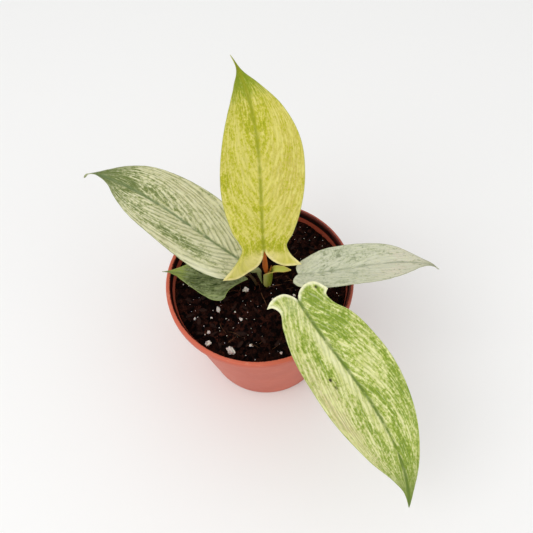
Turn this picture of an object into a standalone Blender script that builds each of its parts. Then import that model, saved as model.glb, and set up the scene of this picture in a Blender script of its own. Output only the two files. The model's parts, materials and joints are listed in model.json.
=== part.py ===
# A young philodendron with five long lobed leaves, standing in a plastic nursery pot.
# The pot stands on z = 0 and its axis is +Z. The values are in millimetres, and
# put_in_scene() turns each finished mesh to metres.

import math
import random

import bmesh
import bpy
import numpy as np
from mathutils import Matrix, Vector

MM = 0.001
CLEARANCE = 0.3

# Pot
RIM_RADIUS = 60.0
POT_HEIGHT = 92.0
BASE_RADIUS = 42.0
LIP_WIDTH = 2.8
LIP_HEIGHT = 4.8
WALL = 1.2
FLOOR = 1.8
POT_SIDES = 48
DRAIN_HOLES = 6
DRAIN_RADIUS = 4.0
DRAIN_RING = 27.0

# Soil
SOIL_LEVEL = POT_HEIGHT - 8.0
SOIL_BUMPS = 0.6
FOOT_SLOPE = 1.8
SMALL_CHIPS = 14

# Perlite chips that stand out on the soil: x, y, width, length
LARGE_CHIPS = [
    (-22.0, -44.5, 5.0, 4.0),
    (-35.5, -38.0, 3.8, 2.9),
    (-35.0, -30.0, 2.2, 2.2),
    (-28.0, -14.5, 1.6, 4.2),
    (-14.0, -24.0, 1.8, 1.8),
    (-9.5, -42.0, 1.8, 1.8),
    (8.5, -49.5, 1.6, 1.6),
    (-9.0, -3.5, 2.6, 2.2),
]

# Leaves
BLADE = 0.7
EDGE_THINNING = 0.05
RIB = 0.8
RIB_WIDTH = 1.5
TIP_WIDTH = 0.8
WAVE = 0.8
CURL = -0.005  # how far each half rolls down, in radians a millimetre
HOOK_START = 0.9  # share of the length past which a tip may hook
BLADE_ROWS = 24
BLADE_COLUMNS = 5

# Each leaf: the joint of stalk and blade, the blade's length, its compass heading and its
# rise in degrees at the base, the middle and the tip, then how it is folded and rolled.
# Outlines are (distance from the midrib, distance along it): "edge" runs from the lobe
# to the tip, "lobe" from the joint back round to the lobe.
LEAVES = {
    "upright": {
        "joint": (5.0, -0.6, 124.0),
        "length": 117.5,
        "heading": (88, 87, 131),
        "rise": (66, 60, 50),
        "left": {
            "lobe": [(1.2, -4.5), (4.5, -9.5), (11, -12.8), (18.5, -15.8), (27, -15)],
            "edge": [
                (16, -1.5), (13.5, 3), (18, 15.5), (22.3, 35), (22.3, 54), (17.4, 79), (6.2, 103),
                (1.2, 110.5),
            ],
        },
        "right": {
            "lobe": [(1.5, -3), (6, -7.5), (12, -9.7), (17, -9.3), (22.3, -8.5)],
            "edge": [
                (15, 0.4), (14, 3.8), (18, 14), (22.8, 30), (25.3, 51), (23.7, 69), (16.8, 85.5),
                (7.5, 99), (1.7, 108.5),
            ],
        },
        "stalk": [(3.3, -0.2, 74.5), (4.3, 0.2, 84), (5.2, 0.7, 95), (4.75, 1.0, 101), (4.9, 0.5, 113)],
        "stalk_radius": (1.0, 1.0, 1.1, 1.8, 1.2, 0.9),
        "seat": 20,
        "waves": 2.0,
        "colour": (206, 200, 92),
        "stalk_colour": (190, 92, 24),
    },
    "front": {
        "joint": (21.3, -34.6, 122.0),
        "length": 146.5,
        "heading": (-68.5, -58, -91),
        "rise": (-6, -32, -62),
        "left": {
            "lobe": [(1, -1.6), (3.5, -4.4), (8, -6), (12.7, -5), (16.3, -0.5), (18.1, 3.5)],
            "edge": [
                (15.6, 5.8), (16, 10.5), (22, 23), (25, 45), (24, 68), (19.5, 89), (11.3, 110.7),
                (3.7, 132),
            ],
        },
        "right": {
            "lobe": [(2, -3), (5.7, -6), (10.7, -6.4), (16.4, -4.3), (19.7, -1.3)],
            "edge": [
                (16.6, -0.9), (13.9, 2.5), (17.2, 11), (22.8, 27), (25.3, 50), (25, 70), (19.1, 97),
                (7.2, 123), (3.2, 132),
            ],
        },
        "stalk": [(16.5, -16.5, 74), (16.3, -20, 79), (16.5, -23, 84), (17.3, -26, 100), (18.6, -29, 112)],
        "stalk_radius": (1.6, 1.5, 1.3),
        "seat": 60,
        "waves": 2.5,
        "colour": (188, 200, 118),
        "stalk_colour": (88, 76, 36),
    },
    "left": {
        "joint": (-5.5, 5.2, 100.0),
        "length": 125.5,
        "heading": (153, 144, 156),
        "rise": (30, 18, -8),
        "hook": 60,
        "hook_turn": 20,
        "left": {
            "lobe": [(1, -0.8), (4, -1.2), (9, 0.5), (15, 5.5)],
            "edge": [
                (19.6, 11), (22.9, 22), (23.5, 42), (21.9, 60), (17.7, 79.5), (9.5, 96), (4.5, 103),
                (1.6, 110.5),
            ],
        },
        "right": {
            "lobe": [(1.5, -2.5), (6, -5), (12, -4), (17.5, 2)],
            "edge": [
                (20.5, 11), (23.4, 25), (25.2, 47), (23.7, 67), (19, 85), (10.9, 99.7),
                (4.3, 109.5), (1.2, 115.5),
            ],
        },
        "stalk": [(1.1, 0.9, 74), (1.3, 0.9, 84), (0.6, 2.8, 89), (-0.2, 4.7, 93.5)],
        "stalk_radius": (0.6, 0.6, 0.6, 1.6, 2.2, 1.2),
        "seat": 10,
        "waves": 2.0,
        "colour": (176, 184, 140),
        "stalk_colour": (122, 136, 84),
    },
    "right": {
        "joint": (24.1, -9.7, 108.0),
        "length": 86.0,
        "heading": (-15.5, -1.5, -18),
        "rise": (16, 6, -12),
        "roll": -8,
        "fold": (22, 16, 14),
        "hook": 45,
        "hook_turn": -10,
        "left": {
            "lobe": [(0.8, -0.5), (3.5, -1.6), (6, -1.3), (8.2, 1.3)],
            "edge": [(12, 8), (15.2, 16.4), (16.1, 26), (14.5, 44), (10.5, 60), (6.6, 68), (3.4, 75)],
        },
        "right": {
            "lobe": [(1.5, -0.6), (5.2, -1.3), (9, -0.6), (12, 2)],
            "edge": [(14.2, 7), (16, 16), (16.7, 34), (15.3, 48), (12.3, 58), (8.2, 67), (3.2, 75)],
        },
        "stalk": [(22.5, -15.5, 74), (25, -13.5, 79), (27.1, -12.1, 84), (26.8, -11.4, 96)],
        "stalk_radius": (1.5, 1.3, 1.2),
        "seat": 75,
        "waves": 1.5,
        "colour": (182, 190, 162),
        "stalk_colour": (104, 104, 62),
    },
    "low": {
        "joint": (-11.3, 2.3, 95.2),
        "length": 50.9,
        "heading": (197.5, 165.5, 170.5),
        "rise": (5.5, 2, -2),
        "left": {
            "lobe": [(2.5, -1.3), (6.2, -2.4), (6.5, 0.8), (7.3, 3.8), (9.4, 7.4), (13.4, 10.1), (16.5, 11)],
            "edge": [
                (18.4, 12.8), (18.1, 15), (14.1, 21.6), (10.3, 27.5), (6.6, 34.2), (2.8, 41.4),
                (1.2, 45.7),
            ],
        },
        "right": {
            "lobe": [(1.2, -1.6), (3.5, -2.6), (6.6, -2.4), (9.8, 0)],
            "edge": [(12.2, 5.5), (12.7, 15.4), (10.9, 25.6), (7.6, 33.8), (4.3, 39.7), (1.5, 45.6)],
        },
        "stalk": [(-2.5, 0.5, 74), (-2.5, 0.5, 84), (-4.6, 2.6, 89.5), (-6.6, 3.6, 91.8)],
        "stalk_radius": (0.9, 0.9, 0.8),
        "seat": 12,
        "waves": 1.0,
        "colour": (88, 106, 66),
        "stalk_colour": (98, 74, 34),
    },
}

# The creeping stem under the soil, which the stalks stand on
STEM_PATH = [(-5, 4.5, 70.5), (5, 0.2, 71), (14, -11, 71), (23, -17, 71), (27.5, -19, 71)]
STEM_RADIUS = 5.5

# The papery sheath round the newest stalk: a leaning tube that widens upwards, open behind at
# its mouth, with a tongue that bends over to the right. Half widths and radii are (row, value).
SHEATH_FOOT = (3.9, -0.2, 74.3)
SHEATH_MOUTH = (6.7, 0.9, 102.3)
SHEATH_WALL = 0.6
SHEATH_STRAIGHT = 24.5
TONGUE_BEND = 5.0
TONGUE_LENGTH = 13.0
TONGUE_TURN = -12
TONGUE_RISE = -6
SHEATH_RADIUS = [(0, 2.2), (22, 2.9), (30, 4.5), (37.5, 6.0)]
FRONT_WIDTH = [(0, 6.4), (18, 8.0), (22.5, 7.3), (26.2, 5.9), (28, 3.6), (30, 2.7), (33, 2.4), (37.5, 0.5)]
BACK_WIDTH = [(0, 6.4), (16, 7.8), (19, 3.6), (24, 2.6), (30, 2.3), (33, 2.3), (37.5, 0.5)]
SOCKET_RADIUS = 2.85

BUD_POINTS = [(5.05, -0.2, 74.5), (6.0, 0.2, 84), (7.25, 0.3, 95), (7.35, 0.0, 100), (8.7, 0.5, 104.6)]
BUD_RADIUS = (0.45, 0.45, 0.45, 0.45, 0.3)

# Colour and roughness of the pieces that are not leaves
FINISHES = {
    "pot": ((176, 96, 72), 0.45),
    "soil": ((34, 20, 14), 0.95),
    "stem": ((96, 78, 46), 0.8),
    "sheath": ((150, 160, 70), 0.5),
    "bud": ((196, 120, 40), 0.5),
}
BLADE_ROUGHNESS = 0.45
STALK_ROUGHNESS = 0.5


def linear(colour):
    """An sRGB colour of 0 to 255 as the linear values that a shader takes."""
    shares = [c / 255 for c in colour]
    return [c / 12.92 if c <= 0.04045 else ((c + 0.055) / 1.055) ** 2.4 for c in shares]


def material(name, colour, roughness, metallic=0.0):
    made = bpy.data.materials.new(name)
    made.use_nodes = True
    shader = made.node_tree.nodes["Principled BSDF"]
    shader.inputs["Base Color"].default_value = (*linear(colour), 1.0)
    shader.inputs["Roughness"].default_value = roughness
    shader.inputs["Metallic"].default_value = metallic
    return made


def put_in_scene(name, mesh, colour, roughness):
    """Turns a finished mesh to metres and shows it as a sub-part of its own."""
    mesh.transform(Matrix.Scale(MM, 4))
    mesh.shade_smooth()
    mesh.set_sharp_from_angle(angle=math.radians(40))
    obj = bpy.data.objects.new(name, mesh)
    obj.data.materials.clear()
    obj.data.materials.append(material(name, colour, roughness))
    bpy.context.scene.collection.objects.link(obj)
    return obj


def mesh_of(bm, name):
    bmesh.ops.recalc_face_normals(bm, faces=bm.faces)
    mesh = bpy.data.meshes.new(name)
    bm.to_mesh(mesh)
    bm.free()
    return mesh


def joined(mesh, others, operation):
    """The mesh after one Boolean with all the other meshes."""
    target = bpy.data.objects.new("target", mesh)
    bpy.context.scene.collection.objects.link(target)
    group = bpy.data.collections.new("others")
    bpy.context.scene.collection.children.link(group)
    for other in others:
        group.objects.link(bpy.data.objects.new("other", other))
    boolean = target.modifiers.new("Boolean", "BOOLEAN")
    boolean.operation = operation
    boolean.operand_type = "COLLECTION"
    boolean.collection = group
    graph = bpy.context.evaluated_depsgraph_get()
    result = bpy.data.meshes.new_from_object(target.evaluated_get(graph))
    for obj in list(group.objects) + [target]:
        bpy.data.objects.remove(obj)
    bpy.data.collections.remove(group)
    return result


def through(points, shares):
    """A smooth curve through the points, read at shares of its length from 0 to 1."""
    points = np.array(points, float)
    steps = np.linalg.norm(np.diff(points, axis=0), axis=1)
    knots = np.concatenate([[0.0], np.cumsum(steps)])
    slopes = np.diff(points, axis=0) / steps[:, None]
    before, after = steps[:-1, None], steps[1:, None]
    inner = (slopes[:-1] * after + slopes[1:] * before) / (before + after)
    tangents = np.concatenate([slopes[:1], inner, slopes[-1:]])
    at = np.clip(shares, 0, 1) * knots[-1]
    i = np.clip(np.searchsorted(knots, at, side="right") - 1, 0, len(steps) - 1)
    h = steps[i][:, None]
    t = ((at - knots[i]) / steps[i])[:, None]
    return (
        (2 * t**3 - 3 * t**2 + 1) * points[i]
        + (t**3 - 2 * t**2 + t) * h * tangents[i]
        + (3 * t**2 - 2 * t**3) * points[i + 1]
        + (t**3 - t**2) * h * tangents[i + 1]
    )


def between(values, t):
    """Three values, at 0, 0.5 and 1, joined by a parabola."""
    a, b, c = values
    return a * (2 * t - 1) * (t - 1) + b * 4 * t * (1 - t) + c * t * (2 * t - 1)


def blade_frame(leaf):
    """The bent midrib: stations along it, with its points and its three directions there."""
    length = leaf["length"]
    y = np.linspace(-0.25 * length, length, 260)
    t = np.clip(y / length, 0, 1)
    hook = np.clip((t - HOOK_START) / (1 - HOOK_START), 0, 1) ** 1.5
    heading = np.radians(between(leaf["heading"], t) + leaf.get("hook_turn", 0) * hook)
    rise = np.radians(between(leaf["rise"], t) - leaf.get("hook", 0) * hook)
    roll = np.radians(leaf.get("roll", 0))
    along = np.stack([np.cos(rise) * np.cos(heading), np.cos(rise) * np.sin(heading), np.sin(rise)], axis=1)
    level = np.stack([-np.sin(heading), np.cos(heading), np.zeros_like(heading)], axis=1)
    up = np.cross(along, level)
    across = level * np.cos(roll) + up * np.sin(roll)
    up = up * np.cos(roll) - level * np.sin(roll)
    step = y[1] - y[0]
    spine = np.concatenate([[[0.0, 0.0, 0.0]], np.cumsum((along[1:] + along[:-1]) * step / 2, axis=0)])
    at_joint = [np.interp(0.0, y, spine[:, k]) for k in range(3)]
    fold = np.radians(between(leaf.get("fold", (16, 12, 12)), t))
    return {
        "y": y,
        "spine": spine - at_joint + leaf["joint"],
        "along": along,
        "across": across,
        "up": up,
        "fold": fold,
    }


def read(frame, key, y):
    values = frame[key]
    if values.ndim == 1:
        return np.interp(y, frame["y"], values)
    return np.stack([np.interp(y, frame["y"], values[:, k]) for k in range(3)], axis=-1)


def flat_outline(leaf, u, v):
    """Places on the flat leaf: u runs from the lobes to the tip, v from -1 (right) to 1 (left)."""
    length = leaf["length"]
    place = np.zeros((len(u), 2))
    for sign, side in ((1, leaf["left"]), (-1, leaf["right"])):
        here = v * sign >= 0
        share = np.abs(v[here])[:, None]
        rows = u[here]
        lobe = [(0.0, 0.0)] + side["lobe"]
        edge = [side["lobe"][-1]] + side["edge"] + [(TIP_WIDTH / 2, length)]
        midrib = np.stack([np.zeros_like(rows), length * rows**1.12], axis=1)
        margin = through(edge, rows)
        base = through(lobe, share[:, 0])
        straight = share * np.array(lobe[-1])
        bent = (1 - rows[:, None]) ** 7 * (base - straight)
        place[here] = ((1 - share) * midrib + share * margin + bent) * (sign, 1)
    return place


def blade_points(leaf, u, v, layer):
    """Points of the blade: layer is 1 on its upper face and -1 on its underside."""
    frame = blade_frame(leaf)
    flat = flat_outline(leaf, u, v)
    x, y = flat[:, 0], flat[:, 1]
    fold = read(frame, "fold", y)
    side = np.sign(x)
    reach = np.abs(x)
    slope = fold + CURL * reach
    out = (np.sin(slope) - np.sin(fold)) / CURL
    rise = (np.cos(fold) - np.cos(slope)) / CURL
    across = read(frame, "across", y)
    up = read(frame, "up", y)
    normal = up * np.cos(slope)[:, None] - across * (side * np.sin(slope))[:, None]
    wave = WAVE * v**2 * np.sin(2 * math.pi * (leaf["waves"] * y / leaf["length"] + 0.3 * side))
    half = BLADE / 2 - EDGE_THINNING * np.abs(v)
    rib = np.where(layer < 0, RIB * (1 - u) * np.exp(-((x / RIB_WIDTH) ** 2)), 0.0)
    offset = wave + layer * (half + rib)
    middle = read(frame, "spine", y) + across * (side * out)[:, None] + up * rise[:, None]
    return middle + normal * offset[:, None]


def blade(name, leaf):
    """A slab of rows and columns, laid out on the flat leaf and bent with its midrib."""
    bm = bmesh.new()
    bmesh.ops.create_grid(bm, x_segments=BLADE_ROWS, y_segments=2 * BLADE_COLUMNS, size=1.0)
    bmesh.ops.triangulate(bm, faces=bm.faces)
    above = bmesh.ops.extrude_face_region(bm, geom=bm.faces[:])
    for vert in above["geom"]:
        if isinstance(vert, bmesh.types.BMVert):
            vert.co.z = 1.0
    grid = np.array([vert.co for vert in bm.verts])
    u = ((grid[:, 0] + 1) / 2) ** 1.3
    v = np.sign(grid[:, 1]) * np.abs(grid[:, 1]) ** 1.2
    v[np.abs(v) < 1e-6] = 0.0
    for vert, point in zip(bm.verts, blade_points(leaf, u, v, 2 * grid[:, 2] - 1)):
        vert.co = point
    put_in_scene("blade_" + name, mesh_of(bm, name), leaf["colour"], BLADE_ROUGHNESS)


def tube(points, radii, grow=0.0, rings=14):
    """A round bar along a smooth path, with flat ends and its radii spread evenly along it."""
    shares = np.linspace(0, 1, rings)
    path = through(points, shares)
    widths = np.interp(shares, np.linspace(0, 1, len(radii)), radii) + grow
    curve = bpy.data.curves.new("tube", "CURVE")
    curve.dimensions = "3D"
    curve.bevel_depth = 1.0
    curve.bevel_resolution = 2
    curve.use_fill_caps = True
    spline = curve.splines.new("POLY")
    spline.points.add(rings - 1)
    for point, place, width in zip(spline.points, path, widths):
        point.co = (*place, 1.0)
        point.radius = width
    holder = bpy.data.objects.new("tube", curve)
    bm = bmesh.new()
    bm.from_mesh(holder.to_mesh())
    holder.to_mesh_clear()
    bpy.data.objects.remove(holder)
    bmesh.ops.remove_doubles(bm, verts=bm.verts, dist=1e-4)
    return mesh_of(bm, "tube")


def stalk_points(leaf):
    """The stalk's path, ending just under the blade's rib at the joint."""
    frame = blade_frame(leaf)
    along = Vector(read(frame, "along", 0.0))
    up = Vector(read(frame, "up", 0.0))
    seat = math.radians(leaf["seat"])
    toward = along * math.cos(seat) + up * math.sin(seat)
    below = BLADE / 2 + RIB + CLEARANCE + leaf["stalk_radius"][-1] * math.cos(seat)
    top = Vector(leaf["joint"]) + along * 1.5 - up * below
    return leaf["stalk"] + [tuple(top - toward * 4), tuple(top)]


def sheath():
    """A sheet rolled into a leaning tube, whose tongue above bends over and narrows."""
    total = SHEATH_STRAIGHT + TONGUE_LENGTH
    lean = (Vector(SHEATH_MOUTH) - Vector(SHEATH_FOOT)).normalized()
    widening = (SHEATH_RADIUS[1][1] - SHEATH_RADIUS[0][1]) / SHEATH_RADIUS[1][0]
    upright = 90 - math.degrees(math.atan(lean.x + widening))
    s = np.linspace(0, total, 300)
    bends = [SHEATH_STRAIGHT, SHEATH_STRAIGHT + TONGUE_BEND, total]
    angle = np.radians(np.interp(s, bends, [upright, 0, TONGUE_RISE]))
    turn = np.radians(TONGUE_TURN)
    along = np.stack([np.cos(angle) * math.cos(turn), np.cos(angle) * math.sin(turn), np.sin(angle)], axis=1)
    side = np.array([-math.sin(turn), math.cos(turn), 0.0])
    outward = np.cross(side, along)
    step = s[1] - s[0]
    spine = np.concatenate([[[0.0, 0.0, 0.0]], np.cumsum((along[1:] + along[:-1]) * step / 2, axis=0)])
    spine += outward[0] * SHEATH_RADIUS[0][1] + SHEATH_FOOT
    spine[:, 1] += (lean.y - math.sin(turn) * (lean.x + widening)) * np.minimum(s, SHEATH_STRAIGHT)
    bm = bmesh.new()
    bmesh.ops.create_grid(bm, x_segments=30, y_segments=14, size=1.0)
    bmesh.ops.triangulate(bm, faces=bm.faces)
    above = bmesh.ops.extrude_face_region(bm, geom=bm.faces[:])
    for vert in above["geom"]:
        if isinstance(vert, bmesh.types.BMVert):
            vert.co.z = 1.0
    for vert in bm.verts:
        row = ((vert.co.x + 1) / 2) ** 0.6 * total
        half = np.interp(row, *zip(*(BACK_WIDTH if vert.co.y > 0 else FRONT_WIDTH)))
        middle = np.interp(row, *zip(*SHEATH_RADIUS))
        radius = middle + (vert.co.z - 0.5) * SHEATH_WALL
        bend = vert.co.y * half / middle
        place, out = ([np.interp(row, s, values[:, k]) for k in range(3)] for values in (spine, outward))
        sideways = Vector(side) * radius * math.sin(bend)
        vert.co = Vector(place) + sideways + Vector(out) * (radius * math.cos(bend) - middle)
    return mesh_of(bm, "sheath")


def turned(profile, name):
    """A profile of (radius, height) turned round the pot's axis."""
    bm = bmesh.new()
    verts = [bm.verts.new((radius, 0.0, height)) for radius, height in profile]
    edges = [bm.edges.new(pair) for pair in zip(verts, verts[1:])]
    bmesh.ops.spin(
        bm,
        geom=verts + edges,
        cent=(0, 0, 0),
        axis=(0, 0, 1),
        angle=2 * math.pi,
        steps=POT_SIDES,
        use_merge=True,
    )
    bmesh.ops.remove_doubles(bm, verts=bm.verts, dist=1e-4)
    return mesh_of(bm, name)


def wall_radius(height):
    """The outer radius of the pot's body at a height."""
    return BASE_RADIUS + (RIM_RADIUS - LIP_WIDTH - BASE_RADIUS) * height / (POT_HEIGHT - LIP_HEIGHT)


def pot():
    lip = POT_HEIGHT - LIP_HEIGHT
    profile = [
        (0, 0),
        (BASE_RADIUS - 1.5, 0),
        (wall_radius(1.5), 1.5),
        (wall_radius(lip), lip),
        (RIM_RADIUS - 0.5, lip + 0.3),
        (RIM_RADIUS, lip + 1.2),
        (RIM_RADIUS, POT_HEIGHT - 1.2),
        (RIM_RADIUS - 0.6, POT_HEIGHT - 0.3),
        (RIM_RADIUS - 1.4, POT_HEIGHT),
        (RIM_RADIUS - LIP_WIDTH + 0.7, POT_HEIGHT - 0.2),
        (RIM_RADIUS - LIP_WIDTH, POT_HEIGHT - 1.0),
        (wall_radius(lip) - WALL, lip - 1.0),
        (wall_radius(FLOOR + 1.5) - WALL, FLOOR + 1.5),
        (wall_radius(FLOOR) - WALL - 1.5, FLOOR),
        (0, FLOOR),
    ]
    holes = []
    for i in range(DRAIN_HOLES):
        turn = 2 * math.pi * (i + 0.5) / DRAIN_HOLES
        place = Vector((DRAIN_RING * math.cos(turn), DRAIN_RING * math.sin(turn), FLOOR / 2))
        bm = bmesh.new()
        bmesh.ops.create_cone(
            bm,
            cap_ends=True,
            segments=16,
            radius1=DRAIN_RADIUS,
            radius2=DRAIN_RADIUS,
            depth=3 * FLOOR,
            matrix=Matrix.Translation(place),
        )
        holes.append(mesh_of(bm, "hole"))
    return joined(turned(profile, "pot"), holes, "DIFFERENCE")


def soil_height(x, y):
    """The soil's surface: low bumps on a level bed."""
    waves = math.sin(0.21 * x + 1.0) * math.cos(0.17 * y) + 0.6 * math.sin(0.43 * y - 0.29 * x)
    return SOIL_LEVEL - 0.3 + SOIL_BUMPS * waves


def chip(x, y, width, length, turn):
    bm = bmesh.new()
    bmesh.ops.create_icosphere(bm, subdivisions=1, radius=0.5)
    place = Matrix.Translation((x, y, soil_height(x, y) + 0.1 * width))
    size = Matrix.Diagonal((width, length, 0.8 * width, 1.0))
    bmesh.ops.transform(bm, matrix=place @ Matrix.Rotation(turn, 4, "Z") @ size, verts=bm.verts)
    return mesh_of(bm, "chip")


def soil(cutters):
    inner = -WALL - CLEARANCE
    bottom = FLOOR + CLEARANCE
    edge = wall_radius(SOIL_LEVEL) + inner
    rings = [edge * share for share in (1.0, 0.86, 0.72, 0.58, 0.44, 0.3, 0.15, 0.0)]
    profile = [
        (0, bottom),
        (wall_radius(bottom) + inner - FOOT_SLOPE, bottom),
        (wall_radius(bottom + FOOT_SLOPE) + inner, bottom + FOOT_SLOPE),
    ]
    profile += [(radius, SOIL_LEVEL) for radius in rings]
    bed = turned(profile, "soil")
    for vert in bed.vertices:
        if vert.co.z > SOIL_LEVEL - 1:
            vert.co.z = soil_height(vert.co.x, vert.co.y)
    rng = random.Random(7)
    chips = [chip(*spec, 0.4) for spec in LARGE_CHIPS]
    for _ in range(SMALL_CHIPS):
        turn = rng.uniform(0, 2 * math.pi)
        reach = edge * math.sqrt(rng.uniform(0.25, 0.85))
        width = rng.uniform(1.2, 2.2)
        place = (reach * math.cos(turn), reach * math.sin(turn))
        chips.append(chip(*place, width, width * rng.uniform(0.8, 1.4), turn))
    return joined(joined(bed, chips, "UNION"), cutters, "DIFFERENCE")


def stalk_cutters(grow):
    """Plain holes that the stalks stand in, in the soil and in the creeping stem."""
    cutters = [
        tube(stalk_points(leaf)[:4], (max(leaf["stalk_radius"][:2]),), grow)
        for name, leaf in LEAVES.items()
        if name != "upright"
    ]
    foot, mouth = Vector(SHEATH_FOOT), Vector(SHEATH_MOUTH)
    start = foot - (mouth - foot).normalized() * CLEARANCE
    return cutters + [tube([start, mouth], (SOCKET_RADIUS,), grow, rings=2)]


def build():
    for obj in list(bpy.data.objects):
        bpy.data.objects.remove(obj)
    put_in_scene("pot", pot(), *FINISHES["pot"])
    holes = stalk_cutters(CLEARANCE)
    room = tube(STEM_PATH, (STEM_RADIUS,), CLEARANCE)
    put_in_scene("soil", soil(holes + [room]), *FINISHES["soil"])
    stem = joined(tube(STEM_PATH, (STEM_RADIUS,)), stalk_cutters(CLEARANCE), "DIFFERENCE")
    put_in_scene("stem", stem, *FINISHES["stem"])
    put_in_scene("sheath", sheath(), *FINISHES["sheath"])
    put_in_scene("bud", tube(BUD_POINTS, BUD_RADIUS, rings=6), *FINISHES["bud"])
    for name, leaf in LEAVES.items():
        blade(name, leaf)
        stalk = tube(stalk_points(leaf), leaf["stalk_radius"])
        put_in_scene("stalk_" + name, stalk, leaf["stalk_colour"], STALK_ROUGHNESS)


build()
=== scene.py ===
# The looks of a young variegated philodendron: five lobed leaves in a plastic nursery pot.
# Shapes are worked out in millimetres on the flat leaf, then bent, and each finished mesh
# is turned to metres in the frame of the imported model.

import json
import random
from math import atan, atan2, cos, degrees, hypot, pi, radians, sin, sqrt

import bmesh
import bpy
import numpy as np
from mathutils import Matrix, Vector, noise

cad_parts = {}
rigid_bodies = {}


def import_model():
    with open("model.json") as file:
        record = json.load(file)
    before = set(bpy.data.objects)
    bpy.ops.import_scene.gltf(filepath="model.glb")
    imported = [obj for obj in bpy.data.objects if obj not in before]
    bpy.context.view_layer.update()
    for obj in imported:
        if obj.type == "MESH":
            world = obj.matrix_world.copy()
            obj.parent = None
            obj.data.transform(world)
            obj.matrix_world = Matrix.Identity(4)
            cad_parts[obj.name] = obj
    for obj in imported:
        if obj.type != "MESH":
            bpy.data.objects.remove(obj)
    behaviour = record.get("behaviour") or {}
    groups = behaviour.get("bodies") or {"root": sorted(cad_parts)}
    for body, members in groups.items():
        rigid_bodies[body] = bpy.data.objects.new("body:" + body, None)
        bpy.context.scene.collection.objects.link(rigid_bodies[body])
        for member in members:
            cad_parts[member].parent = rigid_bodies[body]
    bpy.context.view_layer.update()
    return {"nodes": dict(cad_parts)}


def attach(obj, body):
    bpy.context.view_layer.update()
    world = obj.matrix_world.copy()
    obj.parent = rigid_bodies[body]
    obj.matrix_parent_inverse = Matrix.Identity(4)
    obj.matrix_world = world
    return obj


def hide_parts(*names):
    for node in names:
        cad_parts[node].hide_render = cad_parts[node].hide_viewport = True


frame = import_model()

mm = 0.001
fullTurn = 2 * pi
white = (1.0, 1.0, 1.0, 1.0)


def linear(colour):
    # an sRGB colour of 0 to 255 as linear RGBA
    shares = [c / 255 for c in colour]
    return (*[c / 12.92 if c <= 0.04045 else ((c + 0.055) / 1.055) ** 2.4 for c in shares], 1.0)


def allLinear(colours):
    return {name: linear(colour) for name, colour in colours.items()}


def softStep(value, low, high):
    t = np.clip((value - low) / (high - low), 0, 1)
    return t * t * (3 - 2 * t)


# Node helpers: they add to the tree on the bench, and their sockets take numbers, colours or
# the outputs of other nodes
bench = {"tree": None}


def plug(sockets, values):
    for name, value in values.items():
        if isinstance(value, bpy.types.NodeSocket):
            bench["tree"].links.new(value, sockets[name])
        else:
            sockets[name].default_value = value


def put(kind, values, **settings):
    node = bench["tree"].nodes.new("ShaderNode" + kind)
    for name, value in settings.items():
        setattr(node, name, value)
    plug(node.inputs, values)
    return node.outputs


def calc(operation, a, b=0.0, c=0.0, clamp=False):
    return put("Math", {0: a, 1: b, 2: c}, operation=operation, use_clamp=clamp)[0]


def times(a, b, clamp=False):
    return calc("MULTIPLY", a, b, clamp=clamp)


def minus(a, b, clamp=False):
    return calc("SUBTRACT", a, b, clamp=clamp)


def timesPlus(value, size, base, clamp=False):
    return calc("MULTIPLY_ADD", value, size, base, clamp)


def mix(factor, a, b):
    # sockets 6 and 7 of a Mix node are its colours, and output 2 is the mixed colour
    return put("Mix", {0: factor, 6: a, 7: b}, data_type="RGBA")[2]


def stepUp(value, low, high, top=1.0):
    sockets = {"Value": value, "From Min": low, "From Max": high, "To Max": top}
    return put("MapRange", sockets, interpolation_type="SMOOTHSTEP")[0]


def grain(vector, size, detail, roughness, shift=(0, 0, 0)):
    # noise of one size, or with a size for each direction of the vector
    if isinstance(size, tuple):
        vector = put("Mapping", {"Vector": vector, "Scale": size, "Location": shift})[0]
        size = 1.0
    sockets = {"Vector": vector, "Scale": size, "Detail": detail, "Roughness": roughness}
    return put("TexNoise", sockets)[0]


def split(vector):
    return put("SeparateXYZ", {0: vector})


def attribute(name):
    return put("Attribute", {}, attribute_name=name)["Vector"]


def objectPlace():
    return put("TexCoord", {})["Object"]


def newGroup(name, inputs):
    # a group whose inputs are floats, colours and, given as a word, vectors
    tree = bpy.data.node_groups.new(name, "ShaderNodeTree")
    kinds = {float: "NodeSocketFloat", tuple: "NodeSocketColor", str: "NodeSocketVector"}
    for socket, value in inputs.items():
        made = tree.interface.new_socket(socket, in_out="INPUT", socket_type=kinds[type(value)])
        if not isinstance(value, str):
            made.default_value = value
    for socket, kind in (("Colour", tuple), ("Roughness", float), ("Height", float)):
        tree.interface.new_socket(socket, in_out="OUTPUT", socket_type=kinds[kind])
    bench["tree"] = tree
    return tree.nodes.new("NodeGroupInput").outputs, tree.nodes.new("NodeGroupOutput").inputs


def newMaterial(name, specular, softness=0.0, depth=0.05):
    # softness and depth: how much light goes into the surface, and how far
    made = bpy.data.materials.new(name)
    made.use_nodes = True
    bench["tree"] = made.node_tree
    shader = made.node_tree.nodes["Principled BSDF"].inputs
    plug(shader, {"Specular IOR Level": specular, "Subsurface Weight": softness, "Subsurface Scale": depth})
    return made, shader


def surface(shader, colour, roughness, height, distance, strength):
    # the varying colour, roughness and relief go to the material's shader
    relief = put("Bump", {"Height": height, "Distance": distance, "Strength": strength})[0]
    plug(shader, {"Base Color": colour, "Roughness": roughness, "Normal": relief})


def groupSurface(shader, group, sockets, distance, strength):
    out = put("Group", {}, node_tree=group)
    plug(out[0].node.inputs, sockets)
    surface(shader, out["Colour"], out["Roughness"], out["Height"], distance, strength)


# Shape helpers

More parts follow.
